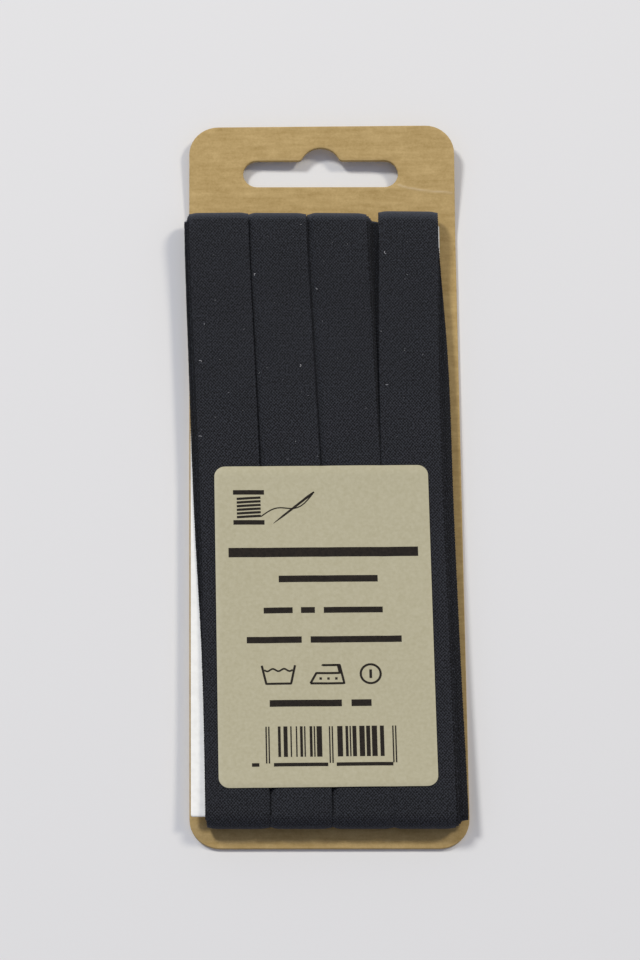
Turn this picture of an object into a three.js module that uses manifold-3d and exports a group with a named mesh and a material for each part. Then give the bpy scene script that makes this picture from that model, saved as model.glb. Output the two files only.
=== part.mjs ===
// A card of narrow cotton tape. Five metres of tape are wound lengthwise round a white board in four
// runs, side by side. The board lies on a longer kraft card, which has a shaped hole to hang it by,
// and a paper label is stuck across the lower half of the runs.
// Units are millimetres. The card lies on its back: +X is its right-hand side, +Y points from its foot
// to the hanging hole and +Z comes out of its front. The origin is the middle of the kraft card's back.

import * as THREE from 'three';
import { mergeVertices } from 'three/addons/utils/BufferGeometryUtils.js';
import Module from 'manifold-3d';

// Clearance between pieces that touch in the real thing.
const GAP = 0.3;

// Kraft hanging card. Its head is bent forward a little, just above the winding, and more so at its
// right-hand side. The twist is the share by which the bend grows with each millimetre to the right.
const KRAFT = {
  width: 46,
  length: 130,
  thickness: 0.7,
  cornerRadius: 5,
  bendStart: 44.5,
  bendBlend: 2,
  headSlope: 0.112,
  headTwist: 0.0147,
  twistColumns: 8,
};

// Hanging hole: a long slot with round ends and a round bump in the middle of its upper side.
const HOLE = {
  centreX: -0.23,
  bottom: 53.95,
  width: 26.85,
  height: 4.8,
  bumpRadius: 3.6,
  bumpTop: 61.1,
  bumpFillet: 0.8,
};

// White board that the tape is wound on. It bows a little towards the kraft card, as the winding does.
const BOARD = {
  left: -22.5,
  right: 20,
  bottom: -60.3,
  top: 45.7,
  thickness: 0.5,
  cornerRadius: 0.4,
};

// Winding. The inner turns fill the whole width, and the outer turns stand out from them as four runs.
// The turns lie loose where they fold over the board's ends and are pressed flat between them, so the
// depth falls from foldDepth to middleDepth. The swell length is how fast it does so. The inner turns
// fill innerShare of the depth, and the runs start at rootShare, in among them.
const WINDING = {
  foldDepth: 1.5,
  middleDepth: 0.92,
  swellLength: 13,
  innerShare: 0.5,
  rootShare: 0.2,
  tapeWidth: 10.1,
  edgeRounding: 0.2,
  straightSteps: 18,
  bendSteps: 14,
};

// Left edge of each run where it folds over the board's head, half-way down, and at the board's foot.
// A lift is how far the outer turns of a run fold beyond the board's head.
const RUNS = [
  { head: -23.1, middle: -21.3, foot: -20, lift: 0 },
  { head: -12.85, middle: -10.95, foot: -9.5, lift: 0.05 },
  { head: -2.45, middle: -0.7, foot: 1.05, lift: 0.1 },
  { head: 9.55, middle: 9.55, foot: 11.6, lift: 0.55 },
];

// The inner turns, which show past the outer ones at both sides and between the runs.
const INNER_TURNS = {
  left: { head: -23.75, middle: -22.1, foot: -20.35 },
  right: { head: 19.8, middle: 21.8, foot: 22.7 },
};

const LABEL = {
  width: 36,
  height: 56.8,
  thickness: 0.2,
  cornerRadius: 1.8,
  centreX: -0.55,
  centreY: -27.7,
  turnDegrees: 0.62,
};

// Steps along round corners, and the spacing of the rows in which a sheet is bent.
const ARC_STEPS = 12;
const SHEET_ROW = 3;

// Height of the winding's back above the surface that the card lies on, and half the board's cavity.
const windingBack = KRAFT.thickness + GAP;
const cavity = BOARD.thickness / 2 + GAP;

const wasm = await Module();
wasm.setup();

// Turns a shape drawn in Y and Z, and extruded along its own third axis, so that it runs along X.
const ALONG_X = new THREE.Matrix4().makeBasis(
  new THREE.Vector3(0, 1, 0),
  new THREE.Vector3(0, 0, 1),
  new THREE.Vector3(1, 0, 0),
);

function toSolid(geometry) {
  const bare = new THREE.BufferGeometry();
  bare.setAttribute('position', geometry.getAttribute('position'));
  if (geometry.index) bare.setIndex(geometry.index);
  const merged = mergeVertices(bare, 1e-5);
  return new wasm.Manifold(new wasm.Mesh({
    numProp: 3,
    vertProperties: new Float32Array(merged.getAttribute('position').array),
    triVerts: new Uint32Array(merged.index.array),
  }));
}

function toGeometry(solid) {
  const mesh = solid.getMesh();
  const geometry = new THREE.BufferGeometry();
  geometry.setAttribute('position', new THREE.BufferAttribute(new Float32Array(mesh.vertProperties), 3));
  geometry.setIndex(new THREE.BufferAttribute(new Uint32Array(mesh.triVerts), 1));
  geometry.computeVertexNormals();
  return geometry;
}

function roundedRectangle(left, bottom, right, top, radius) {
  const shape = new THREE.Shape();
  shape.moveTo(left + radius, bottom);
  shape.absarc(right - radius, bottom + radius, radius, -Math.PI / 2, 0, false);
  shape.absarc(right - radius, top - radius, radius, 0, Math.PI / 2, false);
  shape.absarc(left + radius, top - radius, radius, Math.PI / 2, Math.PI, false);
  shape.absarc(left + radius, bottom + radius, radius, Math.PI, 1.5 * Math.PI, false);
  return shape;
}

// A thin sheet, cut to an outline and bent so that its back lies at the height that liftAt gives. A
// sheet that is twisted too is bent in columns.
function bentSheet(outline, thickness, liftAt, columns = 1) {
  const over = 1;
  const box = new THREE.Box2().setFromPoints(outline.getPoints());
  const middle = box.getCenter(new THREE.Vector2());
  const size = box.getSize(new THREE.Vector2()).addScalar(2 * over);
  const rows = Math.round(size.y / SHEET_ROW);
  const slab = new THREE.BoxGeometry(size.x, size.y, thickness, columns, rows);
  slab.translate(middle.x, middle.y, thickness / 2);
  const position = slab.getAttribute('position');
  for (let i = 0; i < position.count; i += 1) {
    const lift = liftAt(position.getX(i), position.getY(i));
    position.setZ(i, position.getZ(i) + lift);
  }
  slab.computeBoundingBox();
  const bottom = slab.boundingBox.min.z - over;
  const top = slab.boundingBox.max.z + over;
  const cutter = new THREE.ExtrudeGeometry(outline, {
    depth: top - bottom,
    bevelEnabled: false,
    curveSegments: ARC_STEPS,
  });
  cutter.translate(0, 0, bottom);
  return toGeometry(toSolid(slab).intersect(toSolid(cutter)));
}

// Height of the kraft card's back: flat, then a soft bend into a slope that grows to the right.
function headRise(x, y) {
  const past = Math.max(0, y - KRAFT.bendStart);
  const blended = Math.min(past, KRAFT.bendBlend);
  const bent = blended ** 2 / (2 * KRAFT.bendBlend) + (past - blended);
  return KRAFT.headSlope * bent * (1 + KRAFT.headTwist * x);
}

function hangingHole() {
  const endRadius = HOLE.height / 2;
  const left = HOLE.centreX - HOLE.width / 2 + endRadius;
  const right = HOLE.centreX + HOLE.width / 2 - endRadius;
  const middle = HOLE.bottom + endRadius;
  const slotTop = HOLE.bottom + HOLE.height;
  const bumpY = HOLE.bumpTop - HOLE.bumpRadius;
  // The fillet's centre lies its radius above the slot's side and clear of the bump's circle.
  const filletY = slotTop + HOLE.bumpFillet;
  const reach = HOLE.bumpRadius + HOLE.bumpFillet;
  const filletOut = Math.sqrt(reach ** 2 - (filletY - bumpY) ** 2);
  const meet = Math.atan2(filletY - bumpY, filletOut);
  const hole = new THREE.Path();
  hole.moveTo(left, HOLE.bottom);
  hole.absarc(right, middle, endRadius, -Math.PI / 2, Math.PI / 2, false);
  hole.absarc(HOLE.centreX + filletOut, filletY, HOLE.bumpFillet, -Math.PI / 2, -Math.PI + meet, true);
  hole.absarc(HOLE.centreX, bumpY, HOLE.bumpRadius, meet, Math.PI - meet, false);
  hole.absarc(HOLE.centreX - filletOut, filletY, HOLE.bumpFillet, -meet, -Math.PI / 2, true);
  hole.absarc(left, middle, endRadius, Math.PI / 2, 1.5 * Math.PI, false);
  return hole;
}

function kraftCard() {
  const halfWidth = KRAFT.width / 2;
  const halfLength = KRAFT.length / 2;
  const outline = roundedRectangle(-halfWidth, -halfLength, halfWidth, halfLength, KRAFT.cornerRadius);
  outline.holes.push(hangingHole());
  return bentSheet(outline, KRAFT.thickness, headRise, KRAFT.twistColumns);
}

// Depth of all the turns on one side of the board, at y.
function depthAt(y) {
  const along = Math.min(BOARD.top, Math.max(BOARD.bottom, y));
  const fromHead = Math.exp((along - BOARD.top) / WINDING.swellLength);
  const fromFoot = Math.exp((BOARD.bottom - along) / WINDING.swellLength);
  return WINDING.middleDepth + (WINDING.foldDepth - WINDING.middleDepth) * (fromHead + fromFoot);
}

// Height of the board's mid-plane. The winding's back stays level.
function boardMiddle(y) {
  return windingBack + depthAt(y) + cavity;
}

function windingBoard() {
  const outline = roundedRectangle(BOARD.left, BOARD.bottom, BOARD.right, BOARD.top, BOARD.cornerRadius);
  return bentSheet(outline, BOARD.thickness, (x, y) => boardMiddle(y) - BOARD.thickness / 2);
}

// Smooth curve through an edge's places at the board's head, half-way down and at its foot.
function edgeAt(edge, y) {
  const down = (BOARD.top - y) / (BOARD.top - BOARD.bottom);
  const along = Math.min(1, Math.max(0, down));
  const sag = edge.middle - (edge.head + edge.foot) / 2;
  return edge.head + (edge.foot - edge.head) * along + 4 * sag * along * (1 - along);
}

// Closed outline, in Y and Z, round a share of the turns. A share of 0 gives the cavity.
function turnOutline(Outline, share, lift) {
  const points = [];
  const { straightSteps, bendSteps } = WINDING;
  const length = BOARD.top - BOARD.bottom;
  const radiusAt = (y) => cavity + share * depthAt(y);
  const foldRadius = radiusAt(BOARD.top);
  for (let step = 0; step < straightSteps; step += 1) {
    const y = BOARD.bottom + (length * step) / straightSteps;
    points.push([y, boardMiddle(y) - radiusAt(y)]);
  }
  for (let step = 0; step < bendSteps; step += 1) {
    const angle = -Math.PI / 2 + (Math.PI * step) / bendSteps;
    const beyond = Math.cos(angle) * (foldRadius + lift);
    points.push([BOARD.top + beyond, boardMiddle(BOARD.top) + Math.sin(angle) * foldRadius]);
  }
  for (let step = 0; step < straightSteps; step += 1) {
    const y = BOARD.top - (length * step) / straightSteps;
    points.push([y, boardMiddle(y) + radiusAt(y)]);
  }
  for (let step = 0; step < bendSteps; step += 1) {
    const angle = Math.PI / 2 + (Math.PI * step) / bendSteps;
    const beyond = Math.cos(angle) * foldRadius;
    points.push([BOARD.bottom + beyond, boardMiddle(BOARD.bottom) + Math.sin(angle) * foldRadius]);
  }
  return new Outline(points.map(([y, z]) => new THREE.Vector2(y, z)));
}

// The turns between two shares of the depth, as a sleeve whose sides follow a left and a right edge.
function turns(inner, outer, lift, leftAt, rightAt) {
  const section = turnOutline(THREE.Shape, outer, lift);
  section.holes.push(turnOutline(THREE.Path, inner, 0));
  const geometry = new THREE.ExtrudeGeometry(section, {
    depth: WINDING.tapeWidth,
    bevelThickness: WINDING.edgeRounding,
    bevelSize: WINDING.edgeRounding,
    bevelOffset: -WINDING.edgeRounding,
    bevelSegments: 1,
  });
  geometry.applyMatrix4(ALONG_X);
  const position = geometry.getAttribute('position');
  for (let i = 0; i < position.count; i += 1) {
    const across = position.getX(i);
    const y = position.getY(i);
    const fromLeft = leftAt(y) + WINDING.edgeRounding + across;
    const fromRight = rightAt(y) - WINDING.edgeRounding - WINDING.tapeWidth + across;
    position.setX(i, across < WINDING.tapeWidth / 2 ? fromLeft : fromRight);
  }
  return toSolid(geometry);
}

function windingOfTape() {
  const { left, right } = INNER_TURNS;
  const sleeveLeft = (y) => edgeAt(left, y);
  const sleeveRight = (y) => edgeAt(right, y);
  let winding = turns(0, WINDING.innerShare, 0, sleeveLeft, sleeveRight);
  for (const run of RUNS) {
    const leftAt = (y) => edgeAt(run, y);
    const rightAt = (y) => edgeAt(run, y) + WINDING.tapeWidth;
    winding = winding.add(turns(WINDING.rootShare, 1, run.lift, leftAt, rightAt));
  }
  return toGeometry(winding);
}

// The label follows the front of the winding. It is drawn round its own middle.
function paperLabel() {
  const halfWidth = LABEL.width / 2;
  const halfHeight = LABEL.height / 2;
  const outline = roundedRectangle(-halfWidth, -halfHeight, halfWidth, halfHeight, LABEL.cornerRadius);
  const frontAt = (x, y) => boardMiddle(LABEL.centreY + y) + cavity + depthAt(LABEL.centreY + y);
  return bentSheet(outline, LABEL.thickness, (x, y) => frontAt(x, y) + GAP);
}

function piece(name, geometry, colour, roughness) {
  const material = new THREE.MeshStandardMaterial({ color: colour, roughness, metalness: 0 });
  const mesh = new THREE.Mesh(geometry, material);
  mesh.name = name;
  return mesh;
}

const card = new THREE.Group();
card.add(piece('kraft_card', kraftCard(), 0xb89a6a, 0.85));
card.add(piece('winding_board', windingBoard(), 0xe8e6df, 0.7));
card.add(piece('tape_winding', windingOfTape(), 0x26272b, 0.9));
const label = piece('paper_label', paperLabel(), 0xbcb491, 0.6);
label.position.set(LABEL.centreX, LABEL.centreY, 0);
label.rotation.z = THREE.MathUtils.degToRad(LABEL.turnDegrees);
card.add(label);

export default card;
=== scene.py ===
# A card of narrow cotton tape: five metres wound lengthwise round a white board, which lies on a kraft
# card with a hanging hole, under a paper label. Shapes are worked out in millimetres and stored in metres.

import math
import random

import bmesh
import bpy
import numpy as np
from mathutils import Matrix, Vector


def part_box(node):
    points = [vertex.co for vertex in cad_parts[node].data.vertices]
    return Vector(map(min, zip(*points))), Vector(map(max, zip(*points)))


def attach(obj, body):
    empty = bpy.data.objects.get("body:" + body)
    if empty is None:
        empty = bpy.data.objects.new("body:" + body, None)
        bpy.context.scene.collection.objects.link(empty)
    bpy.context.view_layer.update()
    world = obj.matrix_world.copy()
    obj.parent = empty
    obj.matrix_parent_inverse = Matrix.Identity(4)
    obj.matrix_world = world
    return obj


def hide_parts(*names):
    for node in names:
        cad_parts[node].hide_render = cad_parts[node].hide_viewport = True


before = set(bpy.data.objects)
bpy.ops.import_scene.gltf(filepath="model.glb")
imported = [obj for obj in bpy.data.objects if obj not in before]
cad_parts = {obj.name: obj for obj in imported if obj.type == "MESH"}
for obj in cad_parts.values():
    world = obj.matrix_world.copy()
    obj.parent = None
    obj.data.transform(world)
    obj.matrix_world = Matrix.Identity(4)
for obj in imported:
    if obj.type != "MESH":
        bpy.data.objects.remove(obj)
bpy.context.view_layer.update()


# Camera, over the card and leaning towards its foot, with a long lens so that the card's sides stay
# nearly parallel. It is placed by its lean from the vertical, its turn about the card and its aim.
MM = 0.001
CAMERA_LEAN = math.radians(21.5)
CAMERA_TURN = math.radians(-5.672)
CAMERA_ROLL = math.radians(-0.684)
CAMERA_AIM = Vector((-0.9, 0.025, 0.0)) * MM
CAMERA_DISTANCE = 747.1 * MM
CAMERA_LENS = 165.55
SENSOR_WIDTH = 36
NEAREST_SEEN = 0.01
scene = bpy.context.scene


def place_camera():
    back = Vector((
        math.sin(CAMERA_TURN) * math.sin(CAMERA_LEAN),
        -math.cos(CAMERA_TURN) * math.sin(CAMERA_LEAN),
        math.cos(CAMERA_LEAN),
    ))
    level = Vector((0, 1, 0)).cross(back).normalized()
    upward = back.cross(level)
    right = math.cos(CAMERA_ROLL) * level + math.sin(CAMERA_ROLL) * upward
    up = -math.sin(CAMERA_ROLL) * level + math.cos(CAMERA_ROLL) * upward
    data = bpy.data.cameras.new("camera")
    data.lens = CAMERA_LENS
    data.sensor_width = SENSOR_WIDTH
    data.clip_start = NEAREST_SEEN
    camera = bpy.data.objects.new("camera", data)
    scene.collection.objects.link(camera)
    turned = Matrix((right, up, back)).transposed().to_4x4()
    camera.matrix_world = Matrix.Translation(CAMERA_AIM + back * CAMERA_DISTANCE) @ turned
    scene.camera = camera


place_camera()


# Studio: a pale matt table, a cool sky all round, a warm soft lamp at the upper right and a neutral
# one at the upper left. Each lamp gives a short soft shadow on the opposite side.
TABLE_SIZE = 3.0
TABLE_COLOUR = (0.80, 0.80, 0.80, 1)
TABLE_ROUGHNESS = 0.7
TABLE_GLOSS = 0.25
SKY_COLOUR = (0.285, 0.299, 0.37, 1)
LAMPS = {
    "lamp_right": {"towards": (0.85, 0.55, 1.0), "distance": 2.5, "size": 0.52, "power": 22.3,
                   "colour": (1.0, 0.93, 0.78)},
    "lamp_left": {"towards": (-0.62, 0.65, 1.0), "distance": 1.9, "size": 0.42, "power": 18.6,
                  "colour": (1.0, 0.99, 0.95)},
}


def new_material(name, colour, roughness, gloss=0.5):
    """A plain material, with its node tree and its shader."""
    material = bpy.data.materials.new(name)
    material.use_nodes = True
    shader = material.node_tree.nodes["Principled BSDF"]
    shader.inputs["Base Color"].default_value = colour
    shader.inputs["Roughness"].default_value = roughness
    shader.inputs["Specular IOR Level"].default_value = gloss
    return material, material.node_tree, shader


def build_studio():
    mesh = bpy.data.meshes.new("table_top")
    half = TABLE_SIZE / 2
    mesh.from_pydata([(-half, -half, 0), (half, -half, 0), (half, half, 0), (-half, half, 0)],
                     [], [(0, 1, 2, 3)])
    table = bpy.data.objects.new("table_top", mesh)
    scene.collection.objects.link(table)
    mesh.materials.append(new_material("matt_table", TABLE_COLOUR, TABLE_ROUGHNESS, TABLE_GLOSS)[0])

    world = bpy.data.worlds.new("sky")
    scene.world = world
    world.use_nodes = True
    world.node_tree.nodes["Background"].inputs["Color"].default_value = SKY_COLOUR
    for name, lamp in LAMPS.items():
        data = bpy.data.lights.new(name, "AREA")
        data.shape = "DISK"
        data.size = lamp["size"]
        data.energy = lamp["power"]
        data.color = lamp["colour"]
        towards = Vector(lamp["towards"]).normalized()
        light = bpy.data.objects.new(name, data)
        light.location = towards * lamp["distance"]
        light.rotation_euler = towards.to_track_quat("Z", "Y").to_euler()
        scene.collection.objects.link(light)
    scene.view_settings.view_transform = "Standard"


build_studio()


# Kraft hanging card, die-cut from brown fibre board with round corners and a hole for a shop hook.
# Its head is bent forward a little, and a fine crease runs from the hole's end to the right side.
KRAFT_THICKNESS = 0.7
KRAFT_CORNER = 5.0
KRAFT_EDGE = 0.12
BEND_START = 44.5
BEND_BLEND = 2.0
HEAD_SLOPE = 0.112
HEAD_TWIST = 0.0147
HOLE = {"centre": -0.23, "bottom": 53.95, "width": 26.85, "height": 4.8,
        "bump_radius": 3.6, "bump_top": 61.1, "fillet": 0.8}
HOLE_STEPS = {"end": 14, "fillet": 5, "bump": 16}
CREASE = [(13.27, 54.29), (14.9, 53.79), (17.5, 53.33), (22.52, 52.89)]
CREASE_WIDTH = 0.16
CREASE_RISE = 0.035
CREASE_MARGIN = 1.0
# Size of the card's faces: across it, along its flat part, along its bent head and at the crease.
CARD_STEP = 1.5
FLAT_STEP = 6.0
HEAD_STEP = 0.75
CREASE_STEP = 0.3
CUT_TOLERANCE = 1e-5
KRAFT_ROUGHNESS = 0.82
KRAFT_GLOSS = 0.3
KRAFT_DARK = (0.37, 0.245, 0.082, 1)
KRAFT_LIGHT = (0.64, 0.465, 0.21, 1)
FIBRE_STRETCH = (200, 1300, 900)
CLOUD_SHARE = 0.45
GRAIN_SHARE = 0.25
CRUSHED_COLOUR = (0.62, 0.48, 0.28, 1)
CRUSHED_SHARE = 0.8


def arc(centre, radius, start, end, steps):
    turns = np.radians(np.linspace(start, end, steps + 1))
    return np.column_stack([centre[0] + radius * np.cos(turns), centre[1] + radius * np.sin(turns)])


def round_rectangle(left, bottom, right, top, radius, steps=10):
    return np.vstack([
        arc((right - radius, bottom + radius), radius, -90, 0, steps),
        arc((right - radius, top - radius), radius, 0, 90, steps),
        arc((left + radius, top - radius), radius, 90, 180, steps),
        arc((left + radius, bottom + radius), radius, 180, 270, steps),
    ])


def inset(loop, distance):
    """Moves a closed loop into the material, which lies on the left of its direction of travel."""
    ahead = np.roll(loop, -1, 0) - loop
    side = np.column_stack([-ahead[:, 1], ahead[:, 0]]) / np.linalg.norm(ahead, axis=1)[:, None]
    before = np.roll(side, 1, 0)
    mitre = (side + before) / (1 + (side * before).sum(1))[:, None]
    return loop + distance * mitre


def add_plate(mesh, loops, thickness, edge=0.0, base=0.0):
    """Adds a flat plate with softened edges. The first loop runs anticlockwise, and holes run clockwise."""
    levels = [(0.0, 0.0), (0.0, thickness)]
    if edge:
        bends = [(edge * (1 - math.sin(a)), edge * (1 - math.cos(a))) for a in (0, math.pi / 4, math.pi / 2)]
        levels = bends + [(inward, thickness - height) for inward, height in reversed(bends)]
    rims = {0: [], len(levels) - 1: []}
    for loop in loops:
        rings = [
            [mesh.verts.new((x, y, base + height)) for x, y in (inset(loop, inward) if inward else loop)]
            for inward, height in levels
        ]
        for low, high in zip(rings, rings[1:]):
            for i in range(len(loop)):
                j = (i + 1) % len(loop)
                mesh.faces.new((low[i], low[j], high[j], high[i]))
        for level in rims:
            ring = rings[level]
            rims[level] += [mesh.edges.get((ring[i - 1], ring[i])) for i in range(len(ring))]
    for level, rim in rims.items():
        up = (0, 0, 1 if level else -1)
        filled = bmesh.ops.triangle_fill(mesh, use_beauty=True, edges=rim, normal=up)["geom"]
        for item in filled:
            if isinstance(item, bmesh.types.BMEdge):
                item.seam = True


def cut_lattice(mesh, across, along):
    """Cuts a plate along lines of equal x and of equal y, and leaves one face to each cell."""
    for axis, places in ((0, across), (1, along)):
        for place in places:
            point, normal = [0, 0, 0], [0, 0, 0]
            point[axis], normal[axis] = place, 1
            whole = mesh.verts[:] + mesh.edges[:] + mesh.faces[:]
            bmesh.ops.bisect_plane(mesh, geom=whole, dist=CUT_TOLERANCE, plane_co=point, plane_no=normal)
    bmesh.ops.dissolve_edges(mesh, edges=[e for e in mesh.edges if e.seam], use_verts=True)


def make_piece(name, shape, material, smooth_degrees=40):
    """Turns a shape in millimetres into an object that rides on the card's only body."""
    mesh = bpy.data.meshes.new(name)
    if isinstance(shape, bmesh.types.BMesh):
        bmesh.ops.recalc_face_normals(shape, faces=shape.faces)
        shape.to_mesh(mesh)
        shape.free()
    else:
        mesh = shape
        mesh.name = name
    mesh.transform(Matrix.Scale(MM, 4))
    mesh.shade_smooth()
    mesh.set_sharp_from_angle(angle=math.radians(smooth_degrees))
    mesh.materials.clear()
    mesh.materials.append(material)
    piece = bpy.data.objects.new(name, mesh)
    scene.collection.objects.link(piece)
    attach(piece, "root")
    return piece


def head_rise(x, y):
    """How far the bent head stands off the table, which is more at its right."""
    past = max(0, y - BEND_START)
    blended = min(past, BEND_BLEND)
    return HEAD_SLOPE * (blended**2 / (2 * BEND_BLEND) + (past - blended)) * (1 + HEAD_TWIST * x)


def at_crease(x, y):
    """How much of the crease a point has, from 1 on its line to nearly 0 beside it."""
    nearest = math.inf
    for (x0, y0), (x1, y1) in zip(CREASE, CREASE[1:]):
        share = ((x - x0) * (x1 - x0) + (y - y0) * (y1 - y0)) / ((x1 - x0) ** 2 + (y1 - y0) ** 2)
        share = min(1, max(0, share))
        nearest = min(nearest, math.hypot(x - x0 - share * (x1 - x0), y - y0 - share * (y1 - y0)))
    return math.exp(-((nearest / CREASE_WIDTH) ** 2))


def hanging_hole():
    """Outline of the hole, with round ends and a round bump in its upper edge."""
    end = HOLE["height"] / 2
    left = HOLE["centre"] - HOLE["width"] / 2 + end
    right = HOLE["centre"] + HOLE["width"] / 2 - end
    middle = HOLE["bottom"] + end
    bump = (HOLE["centre"], HOLE["bump_top"] - HOLE["bump_radius"])
    fillet_y = HOLE["bottom"] + HOLE["height"] + HOLE["fillet"]
    reach = HOLE["bump_radius"] + HOLE["fillet"]
    out = math.sqrt(reach**2 - (fillet_y - bump[1]) ** 2)
    meet = math.degrees(math.atan2(fillet_y - bump[1], out))
    anticlockwise = np.vstack([
        arc((right, middle), end, -90, 90, HOLE_STEPS["end"]),
        arc((bump[0] + out, fillet_y), HOLE["fillet"], 270, 180 + meet, HOLE_STEPS["fillet"]),
        arc(bump, HOLE["bump_radius"], meet, 180 - meet, HOLE_STEPS["bump"])[1:-1],
        arc((bump[0] - out, fillet_y), HOLE["fillet"], -meet, -90, HOLE_STEPS["fillet"]),
        arc((left, middle), end, 90, 270, HOLE_STEPS["end"]),
    ])
    return anticlockwise[::-1]


def new_node(tree, kind, inputs=(), **settings):
    """Adds a node. Its inputs are values, or the outputs of other nodes."""
    made = tree.nodes.new(kind)
    for key, value in settings.items():
        setattr(made, key, value)
    for key, value in dict(inputs).items():
        socket = made.inputs[key]
        if isinstance(value, bpy.types.NodeSocket):
            tree.links.new(value, socket)
        else:
            socket.default_value = value
    return made


def noise(tree, place, sizes):
    return new_node(tree, "ShaderNodeTexNoise", {"Vector": place, **sizes}).outputs["Fac"]


def marked(tree, name, output="Fac"):
    """Reads a value that the mesh carries."""
    return new_node(tree, "ShaderNodeAttribute", attribute_name=name).outputs[output]


def two_tones(tree, level, dark, light):
    """A colour between two tones, each given with the level at which it is reached."""
    ramp = new_node(tree, "ShaderNodeValToRGB", {"Fac": level})
    for element, (position, colour) in zip(ramp.color_ramp.elements, (dark, light)):
        element.position = position
        element.color = colour
    return ramp.outputs["Color"]


def mix_colours(tree, share, first, second):
    mixed = new_node(tree, "ShaderNodeMix", {"Factor": share, "A": first, "B": second}, data_type="RGBA")
    return mixed.outputs[2]


def add_relief(tree, shader, height, sizes):
    bump = new_node(tree, "ShaderNodeBump", {"Height": height, **sizes})
    tree.links.new(bump.outputs["Normal"], shader.inputs["Normal"])


def kraft_material():
    """Long fibres across the card, under soft clouds and a fine grain, and paler where it is crushed."""
    material, tree, shader = new_material("kraft_board", KRAFT_LIGHT, KRAFT_ROUGHNESS, KRAFT_GLOSS)
    place = new_node(tree, "ShaderNodeTexCoord").outputs["Object"]
    stretched = new_node(tree, "ShaderNodeMapping", {"Vector": place, "Scale": FIBRE_STRETCH}).outputs[0]
    fibres = noise(tree, stretched, {"Scale": 1.0, "Detail": 5.0, "Roughness": 0.6})
    clouds = noise(tree, place, {"Scale": 520.0, "Detail": 4.0, "Roughness": 0.75})
    grain = noise(tree, place, {"Scale": 2600.0, "Detail": 2.0, "Roughness": 0.7})
    cloudy = new_node(tree, "ShaderNodeMix", {"Factor": CLOUD_SHARE, "A": fibres, "B": clouds}).outputs[0]
    rough = new_node(tree, "ShaderNodeMix", {"Factor": GRAIN_SHARE, "A": cloudy, "B": grain}).outputs[0]
    tone = two_tones(tree, rough, (0.3, KRAFT_DARK), (0.72, KRAFT_LIGHT))
    worn = mix_colours(tree, marked(tree, "crushed"), tone, CRUSHED_COLOUR)
    tree.links.new(worn, shader.inputs["Base Color"])
    add_relief(tree, shader, rough, {"Strength": 0.35, "Distance": 0.00012})
    return material


def build_kraft_card():
    low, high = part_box("kraft_card")
    left, bottom, right, top = low[0] / MM, low[1] / MM, high[0] / MM, high[1] / MM
    shape = bmesh.new()
    outline = round_rectangle(left, bottom, right, top, KRAFT_CORNER)
    add_plate(shape, [outline, hanging_hole()], KRAFT_THICKNESS, KRAFT_EDGE)
    across = list(np.arange(left + CARD_STEP, right, CARD_STEP))
    across += list(np.arange(CREASE[0][0], right, CREASE_STEP))
    along = list(np.arange(bottom + CARD_STEP, BEND_START, FLAT_STEP))
    along += list(np.arange(BEND_START, top, HEAD_STEP))
    along += list(np.arange(CREASE[-1][1] - CREASE_MARGIN, CREASE[0][1] + CREASE_MARGIN, CREASE_STEP))
    cut_lattice(shape, across, along)
    crushed = shape.verts.layers.float.new("crushed")
    for vert in shape.verts:
        creased = at_crease(vert.co.x, vert.co.y)
        vert[crushed] = CRUSHED_SHARE * creased
        vert.co.z += head_rise(vert.co.x, vert.co.y) + CREASE_RISE * creased
    card = make_piece("kraft_hanging_card", shape, kraft_material())
    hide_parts("kraft_card")


build_kraft_card()


# White winding board, cut square from smooth coated board. It bows away from the kraft card a little at
# both ends, where the folds are thick, and shows as a strip at the lower left and a sliver upper right.
BOARD_CORNER = 0.35
BOARD_EDGE = 0.08
BOARD_THICKNESS = 0.5
BOARD_STEP = 3.0
BOARD_ROUGHNESS = 0.6
BOARD_DIM = (0.89, 0.89, 0.85, 1)
BOARD_WHITE = (0.96, 0.96, 0.92, 1)
# Length over which the swelling of the folds fades away from the board's ends.
SWELL_LENGTH = 13.0
# How far the board reaches past its plain solid, at its head and its left side, and at its right side.
BOARD_SPREAD = 0.3
BOARD_SPREAD_RIGHT = 0.06
board_low, board_high = (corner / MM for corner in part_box("winding_board"))
BOARD_FOOT, BOARD_HEAD = board_low.y, board_high.y + BOARD_SPREAD


def swell(y):
    """How much the folds thicken the winding, from 1 at the board's ends to nearly 0 between them."""
    y = min(BOARD_HEAD, max(BOARD_FOOT, y))
    return math.exp((y - BOARD_HEAD) / SWELL_LENGTH) + math.exp((BOARD_FOOT - y) / SWELL_LENGTH)


def board_level(y):
    """Height of the board's mid-plane."""
    flat = swell((BOARD_FOOT + BOARD_HEAD) / 2)
    bow = (board_high.z - board_low.z - BOARD_THICKNESS) / (swell(BOARD_HEAD) - flat)
    return board_low.z + BOARD_THICKNESS / 2 + bow * (swell(y) - flat)


def colour_by_grain(tree, shader, sizes, dark, light):
    """Colours a surface between two tones by a fine grain, and gives the grain's level."""
    place = new_node(tree, "ShaderNodeTexCoord").outputs["Object"]
    grain = noise(tree, place, sizes)
    tree.links.new(two_tones(tree, grain, dark, light), shader.inputs["Base Color"])
    return grain


def board_material():
    material, tree, shader = new_material("white_board", BOARD_WHITE, BOARD_ROUGHNESS)
    sizes = {"Scale": 900.0, "Detail": 4.0}
    grain = colour_by_grain(tree, shader, sizes, (0.3, BOARD_DIM), (0.6, BOARD_WHITE))
    add_relief(tree, shader, grain, {"Strength": 0.2, "Distance": 0.00005})
    return material


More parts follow.
